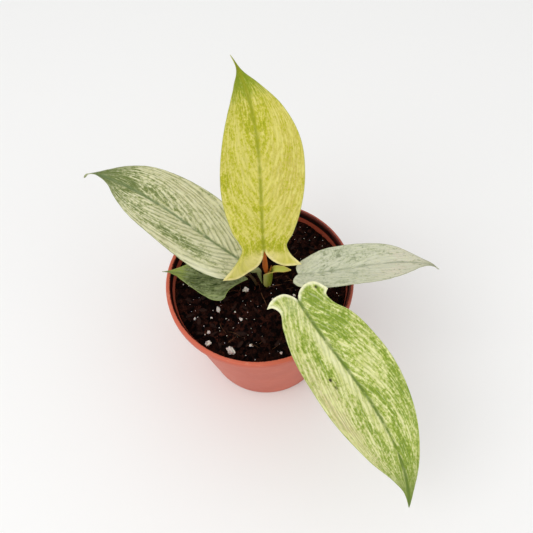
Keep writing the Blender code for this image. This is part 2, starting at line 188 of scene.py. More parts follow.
def through(points, shares):
    # a smooth curve through the points, read at shares of its length from 0 to 1
    points = np.array(points, float)
    steps = np.linalg.norm(np.diff(points, axis=0), axis=1)
    knots = np.concatenate([[0.0], np.cumsum(steps)])
    slopes = np.diff(points, axis=0) / steps[:, None]
    weights = (steps[:-1] + steps[1:])[:, None]
    inner = (slopes[:-1] * steps[1:, None] + slopes[1:] * steps[:-1, None]) / weights
    tangents = np.concatenate([slopes[:1], inner, slopes[-1:]])
    at = np.clip(shares, 0, 1) * knots[-1]
    i = np.clip(np.searchsorted(knots, at, side="right") - 1, 0, len(steps) - 1)
    h = steps[i][:, None]
    t = ((at - knots[i]) / steps[i])[:, None]
    return (
        (2 * t**3 - 3 * t**2 + 1) * points[i]
        + (t**3 - 2 * t**2 + t) * h * tangents[i]
        + (3 * t**2 - 2 * t**3) * points[i + 1]
        + (t**3 - t**2) * h * tangents[i + 1]
    )


def between(values, t):
    # three values, at 0, 0.5 and 1, joined by a parabola
    a, b, c = values
    return a * (2 * t - 1) * (t - 1) + b * 4 * t * (1 - t) + c * t * (2 * t - 1)


def readAt(t, stations, values):
    # the value or vector at t, between those of the stations
    if values.ndim == 1:
        return np.interp(t, stations, values)
    return np.stack([np.interp(t, stations, values[:, k]) for k in range(3)], axis=-1)


def spread(t, values):
    # values that stand evenly from 0 to 1, read at t
    return np.interp(t, np.linspace(0, 1, len(values)), values)


def direction(rise, heading):
    return np.stack([np.cos(rise) * np.cos(heading), np.cos(rise) * np.sin(heading), np.sin(rise)], axis=1)


def addUp(ways, step):
    # the points of a line that goes one way after the other
    return np.concatenate([[[0.0, 0.0, 0.0]], np.cumsum((ways[1:] + ways[:-1]) * step / 2, axis=0)])


def doubleGrid(rows, columns):
    # a grid from -1 to 1 with a second face: z is 0 on one face and 1 on the other
    bm = bmesh.new()
    bmesh.ops.create_grid(bm, x_segments=rows, y_segments=columns, size=1.0)
    above = bmesh.ops.extrude_face_region(bm, geom=bm.faces[:])
    for vert in above["geom"]:
        if isinstance(vert, bmesh.types.BMVert):
            vert.co.z = 1.0
    return bm


def asMesh(name, bm):
    mesh = bpy.data.meshes.new(name)
    bm.to_mesh(mesh)
    bm.free()
    return mesh


def addObject(name, data, collection=bpy.context.scene.collection):
    made = bpy.data.objects.new(name, data)
    collection.objects.link(made)
    return made


def addPiece(name, bm, material, replaced=(), attributes=None, sharp=40):
    # a finished bmesh in millimetres becomes a piece that rides on the body
    mesh = asMesh(name, bm)
    for key, values in (attributes or {}).items():
        layer = mesh.attributes.new(key, "FLOAT_VECTOR", "POINT")
        layer.data.foreach_set("vector", np.ascontiguousarray(values, np.float32).ravel())
    mesh.transform(Matrix.Scale(mm, 4))
    mesh.shade_smooth()
    if sharp:
        mesh.set_sharp_from_angle(angle=radians(sharp))
    mesh.materials.append(material)
    piece = addObject(name, mesh)
    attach(piece, "root")
    if replaced:
        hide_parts(*replaced)


def tube(path, radii, sides, rings):
    # a closed bar along a path: its grain is (cosine, sine, distance along) at each vertex
    bm = bmesh.new()
    bmesh.ops.create_cone(bm, cap_ends=True, segments=sides, radius1=1.0, radius2=1.0, depth=1.0)
    long = [edge for edge in bm.edges if abs(edge.verts[0].co.z - edge.verts[1].co.z) > 0.5]
    bmesh.ops.subdivide_edges(bm, edges=long, cuts=rings - 2, use_grid_fill=True)
    shares = np.linspace(0, 1, 200)
    line = through(path, shares)
    ways = np.gradient(line, axis=0)
    ways /= np.linalg.norm(ways, axis=1)[:, None]
    side = Vector((1, 0, 0)) if abs(ways[0][0]) < 0.9 else Vector((0, 1, 0))
    across = []
    for way in ways:
        side = (side - Vector(way) * side.dot(Vector(way))).normalized()
        across.append(tuple(side))
    across = np.array(across)
    length = np.concatenate([[0], np.cumsum(np.linalg.norm(np.diff(line, axis=0), axis=1))])
    grains = []
    for vert in bm.verts:
        t = vert.co.z + 0.5
        turn = atan2(vert.co.y, vert.co.x)
        place, way, one = (readAt(t, shares, values) for values in (line, ways, across))
        out = one * cos(turn) + np.cross(way, one) * sin(turn)
        vert.co = place + out * spread(t, radii)
        grains.append((cos(turn), sin(turn), np.interp(t, shares, length)))
    bmesh.ops.recalc_face_normals(bm, faces=bm.faces)
    return bm, np.array(grains)


# Leaves. Each one: the joint of stalk and blade, its length, its compass heading and rise at
# the base, the middle and the tip, and its outline as (distance from midrib, distance along).
# Patches are (across, along, half width, half length, amount), with left positive. The tip's
# colour starts and ends at "tip", and "midrib" is the width and strength of the midrib's colour.
leaves = {}
leaves["upright"] = {
    "joint": (5.0, -0.6, 124.0), "length": 117.5, "heading": (88, 87, 131), "rise": (66, 60, 50),
    "left": {
        "lobe": [(1.2, -4.5), (4.5, -9.5), (11, -12.8), (18.5, -15.8), (27, -15)],
        "edge": [
            (16, -1.5), (13.5, 3), (18, 15.5), (22.3, 35), (22.3, 54), (17.4, 79), (6.2, 103), (1.2, 110.5),
        ],
    },
    "right": {
        "lobe": [(1.5, -3), (6, -7.5), (12, -9.7), (17, -9.3), (22.3, -8.5)],
        "edge": [
            (15, 0.4), (14, 3.8), (18, 14), (22.8, 30), (25.3, 51), (23.7, 69), (16.8, 85.5), (7.5, 99),
            (1.7, 108.5),
        ],
    },
    "stalk": [(3.3, -0.2, 74.5), (4.3, 0.2, 84), (5.2, 0.7, 95), (4.75, 1.0, 101), (4.9, 0.5, 113)],
    "stalkRadius": (1.0, 1.0, 1.1, 1.8, 1.2, 0.9), "seat": 20, "waves": 2.0, "tip": (90, 103),
    "midrib": (1.7, 0.85), "lobeMargin": 0.9, "green": (0.42, 0.34),
    "greenPatches": [
        (17, 84, 2.5, 7, 0.5), (20, 48, 3, 9, 0.35), (13, 30, 6, 18, 0.12), (3, 82, 4, 10, 0.35),
        (-4, 80, 4, 10, 0.35), (0, 5, 13, 5, 0.45), (-8, 8, 5, 5, 0.2), (14, -8, 9, 4, -0.4),
        (-13, -5, 9, 3, -0.4), (0, 103, 8, 8, 0.4), (-14, 52, 3, 12, 0.12), (8, 55, 3, 12, -0.12),
        (-10, 45, 4, 14, -0.12),
    ],
    "warmPatches": [(-17, 50, 11, 34, 1.3), (21, 62, 4, 20, 0.7), (16, 15, 4, 12, 0.3)],
    "creamPatches": [(7, -4, 6, 4, 0.6), (-6, -3, 6, 3, 0.6), (16, -10, 8, 4, 0.2)],
    "colours": {
        "Ground": (214, 206, 110), "Second": (202, 196, 82), "Green": (184, 182, 32), "Deep": (156, 162, 6),
        "Warm": (197, 183, 90), "Cream": (238, 224, 156), "Line": (168, 168, 44), "Midrib": (146, 152, 16),
        "Tip": (122, 144, 14), "Rim": (158, 164, 92), "Under": (206, 204, 122),
    },
    "lineStrength": 0.25,
    "stalkColours": {"Foot": (160, 72, 30), "Top": (208, 108, 44), "Stripe": (128, 84, 34)},
}
leaves["front"] = {
    "joint": (21.3, -34.6, 122.0), "length": 146.5, "heading": (-68.5, -58, -91), "rise": (-6, -32, -62),
    "left": {
        "lobe": [(1, -1.6), (3.5, -4.4), (8, -6), (12.7, -5), (16.3, -0.5), (18.1, 3.5)],
        "edge": [
            (15.6, 5.8), (16, 10.5), (22, 23), (25, 45), (24, 68), (19.5, 89), (11.3, 110.7), (3.7, 132),
        ],
    },
    "right": {
        "lobe": [(2, -3), (5.7, -6), (10.7, -6.4), (16.4, -4.3), (19.7, -1.3)],
        "edge": [
            (16.6, -0.9), (13.9, 2.5), (17.2, 11), (22.8, 27), (25.3, 50), (25, 70), (19.1, 97), (7.2, 123),
            (3.2, 132),
        ],
    },
    "stalk": [(16.5, -16.5, 74), (16.3, -20, 79), (16.5, -23, 84), (17.3, -26, 100), (18.6, -29, 112)],
    "stalkRadius": (1.6, 1.5, 1.3), "seat": 60, "waves": 2.5, "tip": (108, 132), "midrib": (1.7, 0.9),
    "lobeMargin": 0.95, "green": (0.56, 0.46),
    "greenPatches": [
        (8, 4, 6, 6, 0.2), (9, 14, 7, 8, 0.2), (12, 26, 6, 9, 0.25), (2.5, 35, 3, 18, 0.25),
        (8, 70, 7, 18, 0.12), (20, 82, 5, 24, 0.2), (4, 103, 4, 10, 0.35), (-9.5, 38, 3, 14, 0.25),
        (-8, 92, 3, 13, 0.25), (-3.5, 45, 3, 32, -0.4), (-21, 72, 5, 34, -0.5), (10, 58, 2.5, 16, -0.35),
        (-16, 20, 4, 10, -0.2), (11, 50, 3, 9, -0.15), (17, 42, 4, 10, -0.12), (-13, 72, 4, 12, 0.2),
        (-14, 28, 4, 14, 0.15),
    ],
    "warmPatches": [
        (-20, 62, 7, 34, 0.9), (-13, 104, 5, 13, 0.7), (20, 30, 5, 9, 0.4), (-12, 60, 5, 16, 0.3),
    ],
    "creamPatches": [(-3.5, 38, 2.2, 26, 0.4), (-6, 2, 6, 5, 0.2)],
    "spots": [
        (-12.5, 47, 0.7, 0.8, 2.2), (-12.3, 52, 0.5, 1.4, 1.6), (12.5, -1, 0.7, 0.7, 1.6),
        (-11, 50, 0.4, 0.5, 1.0),
    ],
    "colours": {
        "Ground": (218, 220, 152), "Second": (196, 202, 118), "Green": (160, 178, 66),
        "Deep": (118, 144, 30), "Warm": (206, 194, 148), "Cream": (244, 242, 204), "Line": (128, 146, 62),
        "Midrib": (94, 118, 36), "Tip": (106, 130, 26), "Rim": (150, 168, 92), "Under": (196, 208, 150),
    },
    "lineStrength": 0.45,
    "stalkColours": {"Foot": (70, 60, 30), "Top": (120, 120, 60), "Stripe": (60, 66, 26)},
}
leaves["left"] = {
    "joint": (-5.5, 5.2, 100.0), "length": 125.5, "heading": (153, 144, 156), "rise": (30, 18, -8),
    "hook": 60, "hookTurn": 20,
    "left": {
        "lobe": [(1, -0.8), (4, -1.2), (9, 0.5), (15, 5.5)],
        "edge": [
            (19.6, 11), (22.9, 22), (23.5, 42), (21.9, 60), (17.7, 79.5), (9.5, 96), (4.5, 103),
            (1.6, 110.5),
        ],
    },
    "right": {
        "lobe": [(1.5, -2.5), (6, -5), (12, -4), (17.5, 2)],
        "edge": [
            (20.5, 11), (23.4, 25), (25.2, 47), (23.7, 67), (19, 85), (10.9, 99.7), (4.3, 109.5),
            (1.2, 115.5),
        ],
    },
    "stalk": [(1.1, 0.9, 74), (1.3, 0.9, 84), (0.6, 2.8, 89), (-0.2, 4.7, 93.5)],
    "stalkRadius": (0.6, 0.6, 0.6, 1.6, 2.2, 1.2), "seat": 10, "waves": 2.0, "tip": (86, 108),
    "midrib": (1.5, 0.85), "lobeMargin": 0.5, "green": (0.30, 0.32),
    "greenPatches": [
        (12, 32, 3.5, 10, 0.6), (13, 51, 3, 13, 0.6), (10, 80, 6, 12, 0.35), (5, 45, 4, 28, -0.2),
        (20, 40, 3, 32, -0.3), (13, 9, 4, 4, 0.3), (-4, 80, 6, 16, 0.4), (-9, 70, 4, 16, 0.15),
        (-18, 55, 6, 26, -0.2), (-6, 24, 8, 12, -0.25), (0, 98, 12, 9, 0.4),
    ],
    "warmPatches": [(-16, 56, 9, 26, 0.6), (20, 58, 4, 22, 0.6), (5, 50, 4, 22, 0.3)],
    "creamPatches": [(21.5, 17, 3, 14, 0.9), (6, 20, 6, 16, 0.2)],
    "colours": {
        "Ground": (214, 212, 172), "Second": (194, 194, 147), "Green": (152, 160, 98),
        "Deep": (104, 118, 56), "Warm": (204, 197, 156), "Cream": (232, 231, 198), "Line": (116, 126, 84),
        "Midrib": (104, 122, 74), "Tip": (88, 106, 40), "Rim": (136, 146, 104), "Under": (186, 194, 150),
    },
    "lineStrength": 0.6,
    "stalkColours": {"Foot": (116, 124, 68), "Top": (148, 156, 104), "Stripe": (88, 98, 50)},
}
leaves["right"] = {
    "joint": (24.1, -9.7, 108.0), "length": 86.0, "heading": (-15.5, -1.5, -18), "rise": (16, 6, -12),
    "roll": -8, "fold": (22, 16, 14), "hook": 45, "hookTurn": -10,
    "left": {
        "lobe": [(0.8, -0.5), (3.5, -1.6), (6, -1.3), (8.2, 1.3)],
        "edge": [(12, 8), (15.2, 16.4), (16.1, 26), (14.5, 44), (10.5, 60), (6.6, 68), (3.4, 75)],
    },
    "right": {
        "lobe": [(1.5, -0.6), (5.2, -1.3), (9, -0.6), (12, 2)],
        "edge": [(14.2, 7), (16, 16), (16.7, 34), (15.3, 48), (12.3, 58), (8.2, 67), (3.2, 75)],
    },
    "stalk": [(22.5, -15.5, 74), (25, -13.5, 79), (27.1, -12.1, 84), (26.8, -11.4, 96)],
    "stalkRadius": (1.5, 1.3, 1.2), "seat": 75, "waves": 1.5, "tip": (75, 84), "midrib": (1.0, 0.7),
    "lobeMargin": 0.25, "green": (0.34, 0.34),
    "greenPatches": [
        (9.5, 26, 0.9, 0.9, 1.2), (8, 20, 5, 10, 0.2), (-6, 14, 4, 8, 0.15), (8, 48, 4, 9, 0.15),
    ],
    "warmPatches": [(-8, 58, 10, 15, 0.9), (7, 67, 10, 13, 0.9)], "creamPatches": [(6, 6, 4, 4, 0.3)],
    # pale, greyed colours: a painted sheen of reflected light laid over the leaf's own green
    "colours": {
        "Ground": (203, 204, 180), "Second": (190, 194, 164), "Green": (168, 174, 142),
        "Deep": (132, 138, 108), "Warm": (219, 209, 190), "Cream": (216, 218, 186), "Line": (164, 170, 142),
        "Midrib": (148, 154, 128), "Tip": (132, 130, 88), "Rim": (152, 156, 122), "Under": (188, 196, 168),
    },
    "lineStrength": 0.3,
    "stalkColours": {"Foot": (84, 82, 48), "Top": (126, 132, 84), "Stripe": (72, 76, 40)},
}
leaves["low"] = {
    "joint": (-11.3, 2.3, 95.2), "length": 50.9, "heading": (197.5, 165.5, 170.5), "rise": (5.5, 2, -2),
    "left": {
        "lobe": [(2.5, -1.3), (6.2, -2.4), (6.5, 0.8), (7.3, 3.8), (9.4, 7.4), (13.4, 10.1), (16.5, 11)],
        "edge": [
            (18.4, 12.8), (18.1, 15), (14.1, 21.6), (10.3, 27.5), (6.6, 34.2), (2.8, 41.4), (1.2, 45.7),
        ],
    },
    "right": {
        "lobe": [(1.2, -1.6), (3.5, -2.6), (6.6, -2.4), (9.8, 0)],
        "edge": [(12.2, 5.5), (12.7, 15.4), (10.9, 25.6), (7.6, 33.8), (4.3, 39.7), (1.5, 45.6)],
    },
    "stalk": [(-2.5, 0.5, 74), (-2.5, 0.5, 84), (-4.6, 2.6, 89.5), (-6.6, 3.6, 91.8)],
    "stalkRadius": (0.9, 0.9, 0.8), "seat": 12, "waves": 1.0, "tip": (33, 42), "midrib": (1.1, 0.6),
    "lobeMargin": 0.2, "green": (0.60, 0.50),
    "greenPatches": [(8, 20, 6, 6, 0.3), (4, 28, 4, 6, 0.25), (8, 11, 5, 4, -0.3)],
    "warmPatches": [(5, 10, 6, 5, 0.8), (-4, 22, 4, 8, 0.5)], "creamPatches": [(14, 18, 2, 9, 0.3)],
    "colours": {
        "Ground": (134, 143, 100), "Second": (104, 113, 70), "Green": (74, 89, 42), "Deep": (46, 60, 22),
        "Warm": (118, 116, 86), "Cream": (164, 176, 116), "Line": (134, 142, 98), "Midrib": (104, 118, 68),
        "Tip": (150, 164, 72), "Rim": (150, 166, 92), "Under": (112, 128, 88),
    },
    "lineStrength": 0.6,
    "stalkColours": {"Foot": (58, 38, 18), "Top": (86, 66, 34), "Stripe": (44, 32, 14)},
}
blade = {
    "thickness": 0.5, "tipWidth": 0.8, "rows": 190, "columns": 40,
    "curl": -0.005,  # how fast the slope turns away from the midrib
    "wave": 0.8,  # height of the wavy margin
    "rib": 0.8,  # how far the rib stands out underneath
    "groove": 0.14,
    "pleat": 0.13,  # depth of the main side veins
    "pleatSpacing": 9.0,
    "veinSpread": 4.5,  # how widely the side veins leave the midrib
    "veinReach": 0.86, "veinClosing": 3.0,
    "veinLines": 0.24,  # drawn side veins to a millimetre of the vein field
    "ripple": 0.12,
    "speck": (52, 50, 26),
}


def bentMidrib(leaf):
    # stations along the bent midrib, with its points and its three directions there
    length = leaf["length"]
    y = np.linspace(-0.25 * length, length, 260)
    t = np.clip(y / length, 0, 1)
    hook = np.clip((t - 0.9) / 0.1, 0, 1) ** 1.5
    heading = np.radians(between(leaf["heading"], t) + leaf.get("hookTurn", 0) * hook)
    along = direction(np.radians(between(leaf["rise"], t) - leaf.get("hook", 0) * hook), heading)
    roll = np.radians(leaf.get("roll", 0))
    level = np.stack([-np.sin(heading), np.cos(heading), 0 * heading], axis=1)
    up = np.cross(along, level)
    curve = {"along": along, "across": level * np.cos(roll) + up * np.sin(roll)}
    curve["up"] = up * np.cos(roll) - level * np.sin(roll)
    curve["fold"] = np.radians(between(leaf.get("fold", (16, 12, 12)), t))
    spine = addUp(along, y[1] - y[0])
    curve["spine"] = spine - readAt(0.0, y, spine) + leaf["joint"]
    return y, curve


def flatOutline(leaf, u, v):
    # places on the flat leaf: u runs from the lobes to the tip, v from -1 (right) to 1 (left)
    length = leaf["length"]
    place = np.zeros((len(u), 2))
    for sign, side in ((1, leaf["left"]), (-1, leaf["right"])):
        here = v * sign >= 0
        share = np.abs(v[here])[:, None]
        rows = u[here]
        lobe = [(0.0, 0.0)] + side["lobe"]
        edge = [side["lobe"][-1]] + side["edge"] + [(blade["tipWidth"] / 2, length)]
        midrib = np.stack([0 * rows, length * rows**1.12], axis=1)
        straight = share * np.array(lobe[-1])
        bent = (1 - rows[:, None]) ** 7 * (through(lobe, share[:, 0]) - straight)
        place[here] = ((1 - share) * midrib + share * through(edge, rows) + bent) * (sign, 1)
    return place


def marginDistance(leaf, flat):
    # how far each place on the flat leaf is from the nearest point of its outline
    shares = np.linspace(0, 1, 260)
    across = np.linspace(-1, 1, 160)
    u = np.concatenate([shares, shares, 0 * across])
    v = np.concatenate([0 * shares + 1, 0 * shares - 1, across])
    outline = flatOutline(leaf, u, v)[None]
    parts = np.array_split(flat, 40)
    return np.concatenate([np.sqrt(((part[:, None] - outline) ** 2).sum(2).min(1)) for part in parts])


def veinField(leaf, u, v):
    # one number for each side vein: they leave the midrib, bend along the margin and close up
    # to the tip, while those below the first one spread from the joint into the lobes
    opening = np.log(1 + blade["veinClosing"] * u**1.12) / blade["veinClosing"]
    field = opening + np.log(1 - blade["veinReach"] * np.abs(v)) / blade["veinSpread"]
    return leaf["length"] * np.where(field < 0, field * 0.4 / (np.abs(v) + 0.1), field)


def patches(spots, x, y):
    total = np.zeros_like(x)
    for across, along, width, length, amount in spots:
        total += amount * np.exp(-(((x - across) / width) ** 2) - ((y - along) / length) ** 2)
    return total


def bladePoints(leaf, u, v, layer, flat, edge):
    # points of the blade: layer is 1 on its upper face and -1 on its underside
    stations, curve = bentMidrib(leaf)
    x, y = flat[:, 0], flat[:, 1]
    spine, across, up, fold = (readAt(y, stations, curve[key]) for key in ("spine", "across", "up", "fold"))
    side = np.sign(x)
    reach = np.abs(x)
    curl = blade["curl"]
    slope = fold + curl * reach
    out = (np.sin(slope) - np.sin(fold)) / curl
    rise = (np.cos(fold) - np.cos(slope)) / curl
    normal = up * np.cos(slope)[:, None] - across * (side * np.sin(slope))[:, None]
    wave = blade["wave"] * v**2 * np.sin(fullTurn * (leaf["waves"] * y / leaf["length"] + 0.3 * side))
    phase = veinField(leaf, u, v) / blade["pleatSpacing"]
    valley = np.exp(-(((phase - np.round(phase)) * blade["pleatSpacing"] / 1.6) ** 2))
    fade = softStep(reach, 0.5, 3) * softStep(1 - np.abs(v), 0.08, 0.35)
    wave -= blade["pleat"] * valley * fade * softStep(leaf["length"] - y, 4, 25)
    ripple = np.sin(0.9 * y + 2.3 * side) * np.cos(0.31 * x + 0.13 * y)
    wave += blade["ripple"] * ripple * softStep(np.abs(v), 0.5, 1)
    half = blade["thickness"] / 2 * (0.3 + 0.7 * softStep(edge, -0.1, 0.7))
    rib = np.where(layer < 0, blade["rib"] * (1 - u) * np.exp(-((x / 1.3) ** 2)), 0.0)
    groove = np.where(layer > 0, blade["groove"] * (1 - u) ** 0.6 * np.exp(-((x / 0.9) ** 2)), 0.0)
    offset = wave + layer * (half + rib - groove)
    return spine + across * (side * out)[:, None] + up * rise[:, None] + normal * offset[:, None]


def leafBlade(name, leaf, material):
    # a grid laid out on the flat leaf, given a second face and bent with its midrib
    bm = doubleGrid(int(blade["rows"] * min(1, 0.35 + leaf["length"] / 180)), 2 * blade["columns"])
    grid = np.array([vert.co for vert in bm.verts])
    u = ((grid[:, 0] + 1) / 2) ** 1.3
    share = np.abs(grid[:, 1])
    v = np.sign(grid[:, 1]) * (share - 0.5 * np.sin(fullTurn * share) / fullTurn)
    v[np.abs(v) < 1e-6] = 0.0
    flat = flatOutline(leaf, u, v)
    edge = marginDistance(leaf, flat)
    layer = 2 * grid[:, 2] - 1
    for vert, point in zip(bm.verts, bladePoints(leaf, u, v, layer, flat, edge)):
        vert.co = point
    bmesh.ops.recalc_face_normals(bm, faces=bm.faces)
    x, y = flat[:, 0], flat[:, 1]
    green, warm, cream, dark = (
        patches(leaf.get(key, []), x, y) for key in ("greenPatches", "warmPatches", "creamPatches", "spots")
    )
    green += np.where(x > 0, *leaf["green"])
    lobes = leaf["lobeMargin"] * softStep(y, 10, 2) * softStep(edge, 2.6, 0.6) * softStep(u, 0.12, 0.02)
    attributes = {
        "place": np.stack([x, y, edge], axis=1),
        "grain": np.stack([veinField(leaf, u, v), np.hypot(x, y), layer], axis=1),
        "tone": np.stack([green, warm, cream + lobes - dark], axis=1),
    }
    addPiece("leafBlade_" + name, bm, material, ("blade_" + name,), attributes=attributes, sharp=60)


def leafSkin():
    # variegated leaf skin: pale ground, green flecks drawn out along the veins, midrib and rim
    inputs = {"Place": "vector", "Grain": "vector", "Tone": "vector", "Seed": 0.0, "Line Strength": 0.3}
    inputs.update({"Tip Start": 100.0, "Tip End": 110.0, "Midrib Width": 1.0, "Midrib Strength": 0.8})
    inputs.update(dict.fromkeys(leaves["front"]["colours"], white))
    take, give = newGroup("leafSkin", inputs)
    place, parts, tone = (split(take[name]) for name in ("Place", "Grain", "Tone"))
    veins = put("CombineXYZ", {0: parts[0], 1: parts[1], 2: take["Seed"]})[0]
    flat = put("CombineXYZ", {0: place[0], 1: place[1], 2: take["Seed"]})[0]
    cloud = grain(veins, (0.10, 0.05, 1.0), 2.0, 0.55)
    blotch = grain(veins, (0.20, 0.11, 1.0), 2.0, 0.55, (7, 0, 3))
    streak = grain(veins, (0.36, 0.16, 1.0), 3.0, 0.66, (0, 5, 9))
    fine = grain(flat, (0.85, 0.55, 1.0), 2.0, 0.7, (3, 0, 17))
    thread = grain(veins, (0.75, 0.14, 1.0), 2.0, 0.6, (11, 2, 5))
    speckle = minus(fine, 0.5)
    # ground: two pale tones in fine streaks, then the warm places
    drift = timesPlus(speckle, 0.4, timesPlus(cloud, 0.4, times(streak, 0.6)))
    colour = mix(stepUp(drift, 0.36, 0.64), take["Ground"], take["Second"])
    warm = times(tone[1], stepUp(drift, 0.38, 0.58), True)
    colour = mix(warm, colour, take["Warm"])
    # flecks in two depths of green
    flecks = timesPlus(speckle, 0.8, timesPlus(blotch, 0.35, times(streak, 0.65)))
    flecks = timesPlus(minus(cloud, 0.5), 0.4, flecks)
    flecks = timesPlus(minus(tone[0], 0.5), 0.45, flecks)
    green = stepUp(flecks, 0.42, 0.62)
    colour = mix(times(green, 0.92), colour, take["Green"])
    colour = mix(stepUp(flecks, 0.54, 0.74, 0.92), colour, take["Deep"])
    # fine side veins: broken dark lines with paler tissue between them
    wandering = timesPlus(minus(blotch, 0.5), 4.0, parts[0])
    cycle = calc("FRACT", times(wandering, blade["veinLines"]))
    off = calc("ABSOLUTE", minus(cycle, 0.5))
    line = times(stepUp(off, 0.24, 0.04), stepUp(streak, 0.30, 0.52))
    colour = mix(times(line, take["Line Strength"]), colour, take["Line"])
    paler = times(stepUp(off, 0.28, 0.46, 0.6), stepUp(streak, 0.62, 0.46))
    paler = times(paler, take["Line Strength"])
    cream = timesPlus(tone[2], timesPlus(streak, 1.4, 0.2), paler, True)
    colour = mix(cream, colour, take["Cream"])
    shade = {"Value": thread, "From Min": 0.3, "From Max": 0.7, "To Min": 0.9, "To Max": 1.08}
    shade = put("MapRange", shade)[0]
    colour = put("VectorMath", {0: colour, 3: shade}, operation="SCALE")[0]
    # tip, midrib, rim and underside
    along = timesPlus(minus(streak, 0.5), 40.0, place[1])
    toTip = {"Value": along, "From Min": take["Tip Start"], "From Max": take["Tip End"], "To Max": 0.85}
    colour = mix(put("MapRange", toTip)[0], colour, take["Tip"])
    reach = timesPlus(speckle, 2.2, calc("ABSOLUTE", place[0]))
    reach = calc("DIVIDE", reach, take["Midrib Width"])
    midrib = times(stepUp(reach, 1.0, 0.15), stepUp(blotch, 0.25, 0.5))
    colour = mix(times(midrib, take["Midrib Strength"]), colour, take["Midrib"])
    bare = timesPlus(tone[2], -0.8, 0.8, True)
    colour = mix(times(stepUp(place[2], 0.5, 0.1), bare), colour, take["Rim"])
    under = stepUp(parts[2], 0.2, -0.2)
    colour = mix(times(under, 0.7), colour, take["Under"])
    # dark specks, where the cream tone is below zero
    colour = mix(times(tone[2], -1.0, True), colour, linear(blade["speck"]))
    # a satin upper face, more matt underneath
    satin = timesPlus(green, -0.05, timesPlus(fine, 0.16, 0.42))
    height = timesPlus(line, -0.8, timesPlus(fine, 0.4, times(streak, 0.6)))
    plug(give, {"Colour": colour, "Roughness": timesPlus(under, 0.15, satin), "Height": height})
    return bench["tree"]


def leafMaterial(name, leaf, skin, seed):
    made, shader = newMaterial("variegatedLeaf_" + name, 0.24, 0.12, 0.0012)
    shader["Subsurface Radius"].default_value = (1.0, 0.9, 0.35)
    sockets = allLinear(leaf["colours"])
    for key in ("place", "grain", "tone"):
        sockets[key.capitalize()] = attribute(key)
    sockets["Seed"] = seed * 11.3
    sockets["Line Strength"] = leaf["lineStrength"]
    sockets["Tip Start"], sockets["Tip End"] = map(float, leaf["tip"])
    sockets["Midrib Width"], sockets["Midrib Strength"] = leaf["midrib"]
    groupSurface(shader, skin, sockets, 0.00012, 0.6)
    return made


# Stalks

stalk = {"sides": 22, "rings": 60, "swelling": 1.18}


def stalkSkin():
    # striped stalk: a colour that runs from foot to top, fine long stripes and small specks
    inputs = {"Grain": "vector", "Foot": white, "Top": white, "Stripe": white, "Length": 50.0, "Seed": 0.0}
    take, give = newGroup("stalkSkin", inputs)
    moved = put("VectorMath", {0: take["Grain"], 1: take["Seed"]}, operation="ADD")[0]
    stripes = grain(moved, (4.0, 4.0, 0.09), 3.0, 0.6)
    specks = grain(moved, (2.5, 2.5, 1.1), 2.0, 0.6)
    rise = calc("DIVIDE", split(take["Grain"])[2], take["Length"])
    rise = timesPlus(minus(stripes, 0.5), 0.5, rise)
    colour = mix(stepUp(rise, 0.2, 0.8), take["Foot"], take["Top"])
    colour = mix(stepUp(stripes, 0.48, 0.66, 0.6), colour, take["Stripe"])
    colour = mix(stepUp(specks, 0.64, 0.7, 0.5), colour, take["Foot"])
    plug(give, {"Colour": colour, "Roughness": timesPlus(specks, 0.2, 0.32), "Height": stripes})
    return bench["tree"]


def stalkMaterial(name, colours, skin, length, seed):
    made, shader = newMaterial("stalkSkin_" + name, 0.4, 0.08, 0.001)
    sockets = {**allLinear(colours), "Grain": attribute("grain"), "Length": length, "Seed": seed * 7.7}
    groupSurface(shader, skin, sockets, 0.0002, 0.7)
    return made


def stalkPath(leaf):
    # the stalk's path, which ends in the rib under the blade's joint
    stations, curve = bentMidrib(leaf)
    along, up = (Vector(readAt(0.0, stations, curve[key])) for key in ("along", "up"))
    seat = radians(leaf["seat"])
    toward = along * cos(seat) + up * sin(seat)
    below = blade["thickness"] / 2 + blade["rib"] + leaf["stalkRadius"][-1] * cos(seat)
    top = Vector(leaf["joint"]) + along * 1.5 - up * below
    return leaf["stalk"] + [tuple(top - toward * 4), tuple(top), tuple(top + toward * 0.9)]


def leafStalk(name, leaf, skin, seed):
    radii = spread(np.linspace(0, 1, 30), leaf["stalkRadius"])
    radii[-4:] *= np.array([1.06, stalk["swelling"], stalk["swelling"], 0.9])
    bm, grains = tube(stalkPath(leaf), radii, stalk["sides"], stalk["rings"])
    material = stalkMaterial(name, leaf["stalkColours"], skin, float(grains[:, 2].max()), seed)
    addPiece("leafStalk_" + name, bm, material, ("stalk_" + name,), attributes={"grain": grains})


# The papery sheath round the newest stalk, and the thin bud beside it

sheath = {
    "foot": (3.9, -0.2, 74.3), "mouth": (6.7, 0.9, 102.3), "wall": 0.5,
    "straight": 24.5, "bend": 5.0, "tongue": 13.0, "turn": -12,
    # (row, value): the tube's radius, then how far the sheet reaches round in front and behind
    "radius": [(0, 2.2), (22, 2.9), (30, 4.5), (37.5, 6.0)],
    "front": [(0, 6.4), (18, 8.0), (22.5, 7.3), (26.2, 5.9), (28, 3.6), (30, 2.7), (33, 2.4), (37.5, 0.4)],
    "back": [(0, 6.4), (16, 7.8), (19, 3.6), (24, 2.6), (30, 2.3), (33, 2.3), (37.5, 0.4)],
    "colours": {
        "Foot": (134, 124, 42), "Green": (140, 152, 44), "Pale": (190, 186, 112), "Tongue": (184, 188, 74),
        "Edge": (214, 172, 96),
    },
}
bud = {
    "path": [(5.05, -0.2, 74.5), (6.0, 0.2, 84), (7.25, 0.3, 95), (7.35, 0.0, 100), (8.7, 0.5, 104.8)],
    "radii": (0.45, 0.45, 0.45, 0.45, 0.42, 0.08),
    "colours": {"Foot": (150, 90, 34), "Top": (206, 126, 44), "Stripe": (150, 140, 50)},
}


